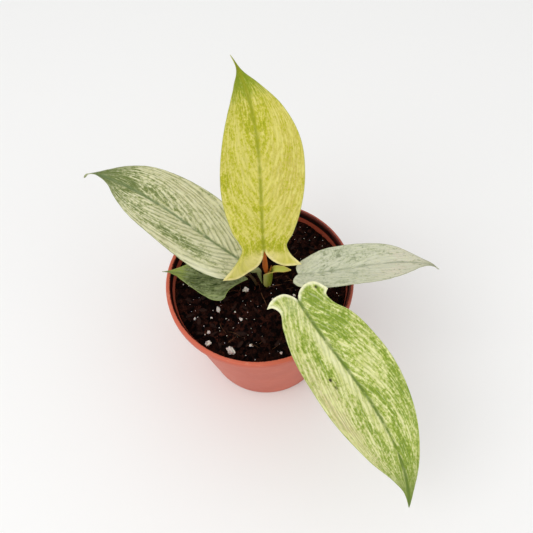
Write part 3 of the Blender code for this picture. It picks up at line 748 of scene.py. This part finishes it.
def sheathMesh():
    total = sheath["straight"] + sheath["tongue"]
    lean = (Vector(sheath["mouth"]) - Vector(sheath["foot"])).normalized()
    radii = sheath["radius"]
    tilt = lean.x + (radii[1][1] - radii[0][1]) / radii[1][0]
    upright = 90 - degrees(atan(tilt))
    s = np.linspace(0, total, 300)
    bends = [sheath["straight"], sheath["straight"] + sheath["bend"], total]
    turn = np.radians(sheath["turn"])
    along = direction(np.radians(np.interp(s, bends, [upright, 0, -6])), turn)
    side = np.array([-sin(turn), cos(turn), 0.0])
    outward = np.cross(side, along)
    spine = addUp(along, s[1] - s[0])
    spine += outward[0] * radii[0][1] + sheath["foot"]
    spine[:, 1] += (lean.y - sin(turn) * tilt) * np.minimum(s, sheath["straight"])
    bm = doubleGrid(130, 52)
    grains = []
    for vert in bm.verts:
        across = vert.co.y
        row = ((vert.co.x + 1) / 2) ** 0.6 * total
        half = np.interp(row, *zip(*sheath["back" if across > 0 else "front"]))
        middle = np.interp(row, *zip(*radii))
        ribs = 0.05 * sin(across * half * 4.2) * (1 - across**8)
        wall = sheath["wall"] * (1 - 0.6 * across**6)
        radius = middle + (vert.co.z - 0.5) * wall + ribs
        bend = across * half / middle
        place, out = readAt(row, s, spine), readAt(row, s, outward)
        vert.co = place + side * radius * sin(bend) + out * (radius * cos(bend) - middle)
        grains.append((across * half, row, across))
    bmesh.ops.recalc_face_normals(bm, faces=bm.faces)
    return bm, np.array(grains)


def sheathMaterial():
    made, shader = newMaterial("sheathSkin", 0.4, 0.1, 0.001)
    colours = allLinear(sheath["colours"])
    vector = attribute("grain")
    parts = split(vector)
    lines = grain(vector, (2.2, 0.12, 0.0), 3.0, 0.6)
    mottle = grain(vector, (0.5, 0.2, 0.0), 3.0, 0.6)
    rise = timesPlus(lines, 5.0, parts[1])
    colour = mix(stepUp(rise, 8.0, 20.0), colours["Foot"], colours["Green"])
    left = stepUp(timesPlus(mottle, 2.0, parts[0]), -2.0, -5.5, 0.7)
    colour = mix(left, colour, colours["Pale"])
    colour = mix(stepUp(rise, 25.0, 31.0), colour, colours["Tongue"])
    colour = mix(stepUp(lines, 0.5, 0.7, 0.4), colour, colours["Pale"])
    border = stepUp(calc("ABSOLUTE", parts[2]), 0.7, 0.98)
    border = times(border, stepUp(parts[1], 20.0, 26.0))
    border = calc("MAXIMUM", border, stepUp(parts[1], 34.0, 37.0))
    colour = mix(times(border, 0.55), colour, colours["Edge"])
    surface(shader, colour, timesPlus(mottle, 0.25, 0.32), lines, 0.0002, 0.6)
    return made


# Pot

pot = {
    "rimRadius": 60.0, "height": 92.0, "baseRadius": 42.0, "lipWidth": 2.8, "lipHeight": 4.8,
    "wall": 1.2, "floor": 1.8, "sides": 192, "drainHoles": 6, "drainRadius": 4.0, "drainRing": 27.0,
    "wobble": 0.12,  # how far the thin lip is out of round
    # the direction of the half of the pot that is given painted shade; the dark colour below is that
    # painted shade
    "shadedSide": (0.97, 0.26, 0.0),
    "colours": {
        "Body": (184, 82, 60), "Light": (210, 108, 82), "Dark": (78, 22, 12), "Soil": (16, 6, 4),
        "Scuff": (220, 150, 124),
    },
}


def wallRadius(height):
    # the outer radius of the pot's body at a height
    lip = pot["height"] - pot["lipHeight"]
    return pot["baseRadius"] + (pot["rimRadius"] - pot["lipWidth"] - pot["baseRadius"]) * height / lip


def arc(centre, radius, start, end, steps):
    turns = np.radians(np.linspace(start, end, steps))
    return [(centre[0] + radius * cos(turn), centre[1] + radius * sin(turn)) for turn in turns]


def turned(profile, sides):
    # a profile of (radius, height) turned round the pot's axis, closed at its poles
    bm = bmesh.new()
    verts = [bm.verts.new((radius, 0.0, height)) for radius, height in profile]
    edges = [bm.edges.new(pair) for pair in zip(verts, verts[1:])]
    centre = {"cent": (0, 0, 0), "axis": (0, 0, 1), "angle": fullTurn}
    bmesh.ops.spin(bm, geom=verts + edges, steps=sides, use_merge=True, **centre)
    bmesh.ops.remove_doubles(bm, verts=bm.verts, dist=1e-4)
    bmesh.ops.recalc_face_normals(bm, faces=bm.faces)
    return bm


def potMesh():
    top = pot["height"]
    lip = top - pot["lipHeight"]
    rim = pot["rimRadius"]
    inner = rim - pot["lipWidth"]
    floor = pot["floor"]
    profile = [(0, 0.6), (6, 0.6), (8, 0.0), (20, 0.0), (34, 0.0)]
    profile += arc((wallRadius(1.5) - 1.5, 1.5), 1.5, -88, -8, 6)
    profile += [(wallRadius(z), z) for z in np.linspace(2.4, lip - 1.2, 26)]
    profile += arc((wallRadius(lip) + 0.6, lip - 0.5), 0.6, 175, 95, 4)
    profile += arc((rim - 0.8, lip + 0.9), 0.8, -80, 0, 5)
    profile += [(rim, lip + 2.2)]
    profile += arc((rim - 1.2, top - 1.2), 1.2, 0, 90, 6)
    profile += arc((inner + 0.8, top - 0.8), 0.8, 90, 176, 5)
    profile += [(wallRadius(z) - pot["wall"], z) for z in np.linspace(lip - 1.4, floor + 1.8, 22)]
    profile += arc((wallRadius(3.2) - pot["wall"] - 1.3, floor + 1.3), 1.3, -5, -88, 5)
    profile += [(30, floor), (20, floor), (0, floor)]
    bm = turned(profile, pot["sides"])
    for vert in bm.verts:
        turn = atan2(vert.co.y, vert.co.x)
        high = softStep(vert.co.z, 60, top)
        uneven = noise.noise(Vector((2.2 * cos(turn), 2.2 * sin(turn), 0.3)))
        nicks = noise.noise(Vector((38 * cos(turn), 38 * sin(turn), 0.2 * vert.co.z)))
        grow = high * (pot["wobble"] * uneven + 0.05 * nicks) - 0.12 * high
        length = hypot(vert.co.x, vert.co.y)
        if length > 10:
            vert.co.x *= 1 + grow / length
            vert.co.y *= 1 + grow / length
        if vert.co.z > top - 0.5:
            vert.co.z -= 0.12 * abs(nicks)
    return bm


def drilled(bm):
    # the pot after its drain holes are cut
    target = addObject("lathe", asMesh("lathe", bm))
    cutters = bpy.data.collections.new("drainCutters")
    bpy.context.scene.collection.children.link(cutters)
    for i in range(pot["drainHoles"]):
        turn = fullTurn * (i + 0.5) / pot["drainHoles"]
        place = Vector((cos(turn), sin(turn), 0)) * pot["drainRing"] + Vector((0, 0, pot["floor"] / 2))
        sizes = {"radius1": pot["drainRadius"] + 0.3, "radius2": pot["drainRadius"] - 0.3}
        matrix = Matrix.Translation(place)
        depth = 3 * pot["floor"]
        hole = bmesh.new()
        bmesh.ops.create_cone(hole, cap_ends=True, segments=40, depth=depth, matrix=matrix, **sizes)
        addObject("hole", asMesh("hole", hole), cutters)
    cut = target.modifiers.new("Drain", "BOOLEAN")
    cut.operand_type = "COLLECTION"
    cut.collection = cutters
    result = bpy.data.meshes.new_from_object(target.evaluated_get(bpy.context.evaluated_depsgraph_get()))
    for obj in list(cutters.objects) + [target]:
        bpy.data.objects.remove(obj)
    bpy.data.collections.remove(cutters)
    done = bmesh.new()
    done.from_mesh(result)
    bpy.data.meshes.remove(result)
    return done


def potMaterial():
    # moulded plastic with a painted highlight along the lip's top, painted shade on the inner wall, the
    # lip's inner edge and the shaded half, and soil smeared low on the inside together with painted shade
    made, shader = newMaterial("terracottaPlastic", 0.25)
    colours = allLinear(pot["colours"])
    lip = pot["height"] - pot["lipHeight"]
    place = objectPlace()
    parts = split(put("VectorMath", {0: place, 3: 1 / mm}, operation="SCALE")[0])
    reach = put("CombineXYZ", {0: parts[0], 1: parts[1]})[0]
    reach = put("VectorMath", {0: reach}, operation="LENGTH")["Value"]
    cloud = grain(place, 45.0, 3.0, 0.6)
    fine = grain(place, 900.0, 3.0, 0.6)
    rubs = grain(place, (160.0, 160.0, 960.0), 3.0, 0.65)
    worn = calc("ADD", stepUp(cloud, 0.3, 0.75, 0.35), 0.2)
    colour = mix(worn, colours["Body"], colours["Light"])
    # painted highlight: the top of the lip is made paler, as where the light falls on it
    colour = mix(stepUp(parts[2], 90.6, 91.7, 0.55), colour, colours["Light"])
    colour = mix(stepUp(rubs, 0.58, 0.72, 0.35), colour, colours["Scuff"])
    # painted shade: the inner wall, which widens upwards, and the lip's inner edge are painted dark, and
    # the dark edge reaches further over the lip on the shaded side
    slant = (wallRadius(80) - wallRadius(0)) / 80
    wall = timesPlus(parts[2], slant, pot["baseRadius"] - pot["wall"] - 0.4)
    # the shaded half: wherever a place points along this direction, painted shade is laid on
    far = put("VectorMath", {0: place, 1: pot["shadedSide"]}, operation="DOT_PRODUCT")["Value"]
    far = stepUp(far, 0.0, 0.03)
    inner = timesPlus(far, 0.9, pot["rimRadius"] - pot["lipWidth"] + 0.2)
    inner = timesPlus(minus(fine, 0.5), 1.2, inner)
    shadedLipEdge = stepUp(minus(inner, reach), -0.25, 0.15)
    shadedLipEdge = times(shadedLipEdge, stepUp(parts[2], lip + 0.1, lip + 0.6))
    inside = stepUp(minus(wall, reach), -0.2, 0.3)
    inside = times(inside, stepUp(parts[2], 1.0, 1.6))
    inside = calc("MAXIMUM", inside, shadedLipEdge)
    # painted shade over the whole shaded half of the pot
    colour = mix(times(far, 0.45), colour, colours["Dark"])
    # painted shade on the inner wall and on the lip's inner edge
    colour = mix(inside, colour, colours["Dark"])
    # the inner wall, up to an uneven line below the lip, is made near black: partly soil smeared on it,
    # partly painted shade
    soilAndShade = timesPlus(fine, 4.0, times(cloud, 4.0))
    soilAndShade = stepUp(minus(parts[2], soilAndShade), 87.8, 86.2, 0.95)
    colour = mix(times(soilAndShade, inside), colour, colours["Soil"])
    height = timesPlus(fine, 0.3, rubs)
    surface(shader, colour, timesPlus(rubs, 0.3, 0.28), height, 0.0002, 0.4)
    return made


# Soil: a crumbly bed, loose crumbs, bark flakes, fibres and white perlite

soil = {
    "level": pot["height"] - 8.0, "bumps": 0.6, "clearance": 0.3, "rings": 96, "sides": 360,
    "crumbs": 2600, "lumps": 240, "flakes": 46, "fibres": 34, "specks": 210,
    # perlite chips as x, y, width, length
    "chips": [
        (-22, -44.5, 5, 4), (-35.5, -38, 3.8, 2.9), (-35, -30, 2.2, 2.2), (-28, -14.5, 2, 5.6),
        (-14, -24, 1.8, 1.8), (-9.5, -42, 1.8, 1.8), (8.5, -49.5, 1.6, 1.6), (-9.5, -3.2, 3.8, 2.8),
        (21, -11, 1.8, 1.4), (-17.5, -18, 1.2, 1.2), (-43, -20, 1.3, 1.6), (-32.5, -20.5, 1.2, 1.6),
    ],
    "longFibre": [(0.1, -6.5, 84.4), (0.9, -10.5, 86.2), (1.8, -13.4, 86.6), (2.9, -16.9, 85.4)],
    "longFlake": (-15.5, -33.5),
    "colours": {
        "Black": (5, 1, 1), "Brown": (46, 21, 14), "Rust": (92, 46, 34), "Perlite": (226, 206, 200),
        "Chalk": (236, 226, 214), "Pore": (96, 62, 56),
    },
    # a lighter and a darker tone of each woody piece
    "bark": ((50, 27, 19), (24, 13, 10)),
    "fibre": ((128, 86, 56), (70, 44, 28)),
    "stem": ((104, 84, 50), (58, 42, 26)),
}
rng = random.Random(11)


def soilEdge():
    return wallRadius(soil["level"]) - pot["wall"] - soil["clearance"]


def soilTop(x, y):
    # low bumps on a level bed, as the solid has them, with crumbs of several sizes on them
    waves = sin(0.21 * x + 1.0) * cos(0.17 * y) + 0.6 * sin(0.43 * y - 0.29 * x)
    spot = Vector((x, y, 0))
    crumbly = 0.75 * noise.fractal(spot * 0.22, 0.9, 2.1, 4) + 0.5 * noise.noise(spot * 0.9)
    pits = min(0.0, noise.noise(spot * 0.33 + Vector((9, 4, 2))) + 0.1)
    return soil["level"] - 0.3 + soil["bumps"] * waves + crumbly + 1.6 * pits


def soilBed(material):
    bottom = pot["floor"] + soil["clearance"]
    inner = -pot["wall"] - soil["clearance"]
    profile = [(0, bottom), (wallRadius(bottom) + inner - 1.8, bottom)]
    profile += [(wallRadius(bottom + 1.8) + inner, bottom + 1.8)]
    profile += [(soilEdge() * share, soil["level"]) for share in np.linspace(1, 0, soil["rings"])]
    bm = turned(profile, soil["sides"])
    for vert in bm.verts:
        if vert.co.z > soil["level"] - 1:
            vert.co.z = soilTop(vert.co.x, vert.co.y)
            vert.co.z += 0.35 * noise.noise(vert.co * 1.9)
    addPiece("soilBed", bm, material, ("soil",), sharp=None)


def onSoil(reach=0.97):
    # a random place on the soil
    turn = rng.uniform(0, fullTurn)
    distance = soilEdge() * reach * sqrt(rng.random())
    return distance * cos(turn), distance * sin(turn)


def absorb(bm, other):
    # adds another bmesh to this one
    holder = asMesh("holder", other)
    bm.from_mesh(holder)
    bpy.data.meshes.remove(holder)


def pebble(bm, x, y, lift, size, subdivisions, rough, frequency):
    # an uneven lump on the soil: an icosphere pushed in and out by noise
    made = bmesh.ops.create_icosphere(bm, subdivisions=subdivisions, radius=0.5)
    shift = Vector((rng.uniform(0, 99), rng.uniform(0, 99), rng.uniform(0, 99)))
    for vert in made["verts"]:
        vert.co *= 1 + rough * noise.noise(vert.co * frequency + shift)
    turn = Matrix.Rotation(rng.uniform(0, 6.28), 4, "Z") @ Matrix.Rotation(rng.uniform(-0.5, 0.5), 4, "X")
    place = Matrix.Translation((x, y, soilTop(x, y) + lift * size[0]))
    bmesh.ops.transform(bm, matrix=place @ turn @ Matrix.Diagonal((*size, 1.0)), verts=made["verts"])


def soilCrumbs(material):
    bm = bmesh.new()
    for i in range(soil["crumbs"] + soil["lumps"]):
        x, y = onSoil()
        large = i >= soil["crumbs"]
        width = rng.uniform(1.4, 2.8) if large else rng.uniform(0.5, 1.3)
        size = (width, width * rng.uniform(0.6, 1.2), width * rng.uniform(0.5, 0.8))
        pebble(bm, x, y, 0.15, size, 2 if large else 1, 0.7, 2.2)
    addPiece("soilCrumbs", bm, material, sharp=None)


def perlite(material):
    bm = bmesh.new()
    for x, y, width, length in soil["chips"]:
        large = max(width, length) > 2.5
        pebble(bm, x, y, 0.2, (width, length, 0.8 * width), 5 if large else 3, 0.55, 3.4)
    for _ in range(soil["specks"]):
        x, y = onSoil()
        width = rng.uniform(0.3, 0.75) if rng.random() < 0.85 else rng.uniform(0.8, 1.3)
        pebble(bm, x, y, 0.4, (width, width * rng.uniform(0.7, 1.5), width * 0.8), 1, 0.6, 2.0)
    addPiece("perliteChips", bm, material, sharp=None)


def barkFlakes(material):
    bm = bmesh.new()
    for i in range(soil["flakes"]):
        x, y = soil["longFlake"] if i == 0 else onSoil(0.93)
        length = 8.5 if i == 0 else rng.uniform(2.5, 6)
        width = length * rng.uniform(0.25, 0.5)
        flake = bmesh.new()
        bmesh.ops.create_cube(flake, size=1.0)
        bmesh.ops.subdivide_edges(flake, edges=flake.edges[:], cuts=3, use_grid_fill=True)
        shift = Vector((rng.uniform(0, 99), rng.uniform(0, 99), 0))
        for vert in flake.verts:
            vert.co.y *= 1 - 0.55 * abs(2 * vert.co.x) ** 2
            vert.co += 0.22 * noise.noise_vector(vert.co * 2.1 + shift)
            vert.co.z += 0.5 * vert.co.y**2
        turn = Matrix.Rotation(-0.25 if i == 0 else rng.uniform(0, 6.28), 4, "Z")
        tilt = Matrix.Rotation(rng.uniform(-0.3, 0.3), 4, "Y")
        place = Matrix.Translation((x, y, soilTop(x, y) + 0.35))
        size = Matrix.Diagonal((length, width, 0.7, 1.0))
        bmesh.ops.transform(flake, matrix=place @ turn @ tilt @ size, verts=flake.verts)
        absorb(bm, flake)
    addPiece("barkFlakes", bm, material, sharp=35)


def soilFibres(material):
    bm = bmesh.new()
    grains = []
    for i in range(soil["fibres"]):
        if i == 0:
            path, radius = soil["longFibre"], 0.24
        else:
            x, y = onSoil(0.85)
            turn = rng.uniform(0, 6.28)
            length = rng.uniform(4, 12)
            radius = rng.uniform(0.08, 0.16)
            path = []
            for k in range(5):
                turn += rng.uniform(-0.5, 0.5)
                path.append((x, y, soilTop(x, y) + 0.35 + 0.5 * sin(pi * k / 4)))
                x += length / 4 * cos(turn)
                y += length / 4 * sin(turn)
                if hypot(x, y) > soilEdge() - 0.5:
                    x, y = x * 0.9, y * 0.9
        one, along = tube(path, [radius, radius, radius * 0.8, radius * 0.4], 6, 14)
        absorb(bm, one)
        grains.append(along)
    attributes = {"grain": np.concatenate(grains)}
    addPiece("soilFibres", bm, material, attributes=attributes, sharp=None)


def earthMaterial(name, light):
    # damp peat: near black, with browner and rustier crumbs
    made, shader = newMaterial(name, 0.04)
    colours = allLinear(soil["colours"])
    place = objectPlace()
    cell = put("TexVoronoi", {"Vector": place, "Scale": 430.0})["Color"]
    cell = put("SeparateColor", {0: cell})
    cloud = grain(place, 90.0, 4.0, 0.6)
    fine = grain(place, 1600.0, 3.0, 0.65)
    colour = mix(stepUp(cell[0], 0.25, 1.0), colours["Black"], colours["Brown"])
    rust = times(stepUp(cell[1], 0.72, 0.9, light), stepUp(cloud, 0.4, 0.62))
    colour = mix(rust, colour, colours["Rust"])
    colour = mix(stepUp(fine, 0.54, 0.38), colour, colours["Black"])
    surface(shader, colour, timesPlus(cell[2], 0.3, 0.55), fine, 0.0004, 0.8)
    return made


def mineralMaterial():
    # porous white perlite with darker pores and a little peat on it
    made, shader = newMaterial("perliteWhite", 0.3, 0.1, 0.0008)
    colours = allLinear(soil["colours"])
    place = objectPlace()
    pores = put("TexVoronoi", {"Vector": place, "Scale": 1500.0})["Distance"]
    fine = grain(place, 1300.0, 3.0, 0.6)
    cloud = grain(place, 350.0, 2.0, 0.5)
    colour = mix(stepUp(cloud, 0.35, 0.6), colours["Perlite"], colours["Chalk"])
    colour = mix(stepUp(pores, 0.28, 0.1, 0.6), colour, colours["Pore"])
    colour = mix(stepUp(fine, 0.58, 0.7, 0.7), colour, colours["Pore"])
    height = calc("ADD", pores, fine)
    surface(shader, colour, timesPlus(fine, 0.2, 0.7), height, 0.0006, 0.8)
    return made


def woodyMaterial(name, tones):
    # bark flakes, fibres and stem: streaks along the piece in the object's own space
    made, shader = newMaterial(name, 0.1)
    light, dark = map(linear, tones)
    place = objectPlace()
    streaks = grain(place, (500.0, 1500.0, 1500.0), 3.0, 0.65)
    cloud = grain(place, 120.0, 2.0, 0.5)
    colour = mix(stepUp(streaks, 0.35, 0.65), dark, light)
    colour = mix(stepUp(cloud, 0.5, 0.7, 0.5), colour, dark)
    surface(shader, colour, timesPlus(streaks, 0.25, 0.6), streaks, 0.0003, 0.8)
    return made


# What is made of the parts above

def makeLeaves():
    skin = leafSkin()
    stripes = stalkSkin()
    for seed, (name, leaf) in enumerate(leaves.items()):
        leafBlade(name, leaf, leafMaterial(name, leaf, skin, seed))
        leafStalk(name, leaf, stripes, seed)
        print("made leaf", name)
    bm, grains = sheathMesh()
    addPiece("sheathLeaf", bm, sheathMaterial(), ("sheath",), attributes={"grain": grains}, sharp=60)
    bm, grains = tube(bud["path"], bud["radii"], 14, 30)
    material = stalkMaterial("bud", bud["colours"], stripes, 34.0, 9)
    addPiece("budSpike", bm, material, ("bud",), attributes={"grain": grains})
    print("made sheath and bud")


def makePot():
    addPiece("nurseryPot", drilled(potMesh()), potMaterial(), ("pot",), sharp=35)
    print("made pot")


def makeSoil():
    soilBed(earthMaterial("peatBed", 0.4))
    soilCrumbs(earthMaterial("peatCrumbs", 0.9))
    perlite(mineralMaterial())
    barkFlakes(woodyMaterial("barkFlake", soil["bark"]))
    soilFibres(woodyMaterial("rootFibre", soil["fibre"]))
    print("made soil")


def dressStem():
    # the buried creeping stem stays as it is, with a barky skin
    stem = frame["nodes"]["stem"]
    stem.data.materials.clear()
    stem.data.materials.append(woodyMaterial("buriedStem", soil["stem"]))
    print("dressed stem")


# Camera and room: the photograph's angle, from above and in front

camera = {
    "elevation": 58.94, "roll": -6.32, "distance": 0.45, "aim": (0.00543, 0.00789, 0.092), "lens": 47.38,
}
studio = {
    "floorSize": 3.0, "floorColour": (246, 246, 245), "floorRoughness": 0.8, "worldStrength": 0.80,
    # each light's place, size and power
    "keyLight": ((-0.55, -0.35, 1.1), 0.9, 4.2),
    "fillLight": ((0.8, -0.5, 0.7), 1.0, 1.2),
}


def makeRoom():
    world = bpy.data.worlds.new("studio")
    world.use_nodes = True
    background = world.node_tree.nodes["Background"].inputs
    plug(background, {"Color": white, "Strength": studio["worldStrength"]})
    bpy.context.scene.world = world
    made, shader = newMaterial("paleFloor", 0.2)
    pale = linear(studio["floorColour"])
    dim = tuple(c * 0.985 for c in pale[:3]) + (1.0,)
    shade = mix(grain(objectPlace(), 3.0, 2.0, 0.5), pale, dim)
    plug(shader, {"Base Color": shade, "Roughness": studio["floorRoughness"]})
    bm = bmesh.new()
    bmesh.ops.create_grid(bm, x_segments=4, y_segments=4, size=studio["floorSize"] / 2)
    bmesh.ops.translate(bm, vec=(0, 0, -0.0003), verts=bm.verts)
    floor = addObject("studioFloor", asMesh("studioFloor", bm))
    floor.data.materials.append(made)
    for name in ("keyLight", "fillLight"):
        place, size, power = studio[name]
        light = bpy.data.lights.new(name, "AREA")
        light.shape = "DISK"
        light.size = size
        light.energy = power
        lamp = addObject(name, light)
        turn = (Vector(camera["aim"]) - Vector(place)).to_track_quat("-Z", "Y")
        lamp.matrix_world = Matrix.Translation(place) @ turn.to_matrix().to_4x4()
    print("made room")


def makeCamera():
    rise = radians(camera["elevation"])
    roll = radians(camera["roll"])
    back = Vector((0, -cos(rise), sin(rise)))
    right = Vector((1, 0, 0))
    up = right.cross(-back)
    turnedRight = right * cos(roll) + up * sin(roll)
    turnedUp = up * cos(roll) - right * sin(roll)
    data = bpy.data.cameras.new("photoCamera")
    data.sensor_width = 36.0
    data.lens = camera["lens"]
    data.clip_start = 0.01
    eye = addObject("photoCamera", data)
    matrix = Matrix((turnedRight, turnedUp, back)).transposed().to_4x4()
    matrix.translation = Vector(camera["aim"]) + back * camera["distance"]
    eye.matrix_world = matrix
    bpy.context.scene.camera = eye
    bpy.context.scene.view_settings.view_transform = "Standard"
    print("set camera")


makeCamera()
makeRoom()
makePot()
makeSoil()
makeLeaves()
dressStem()
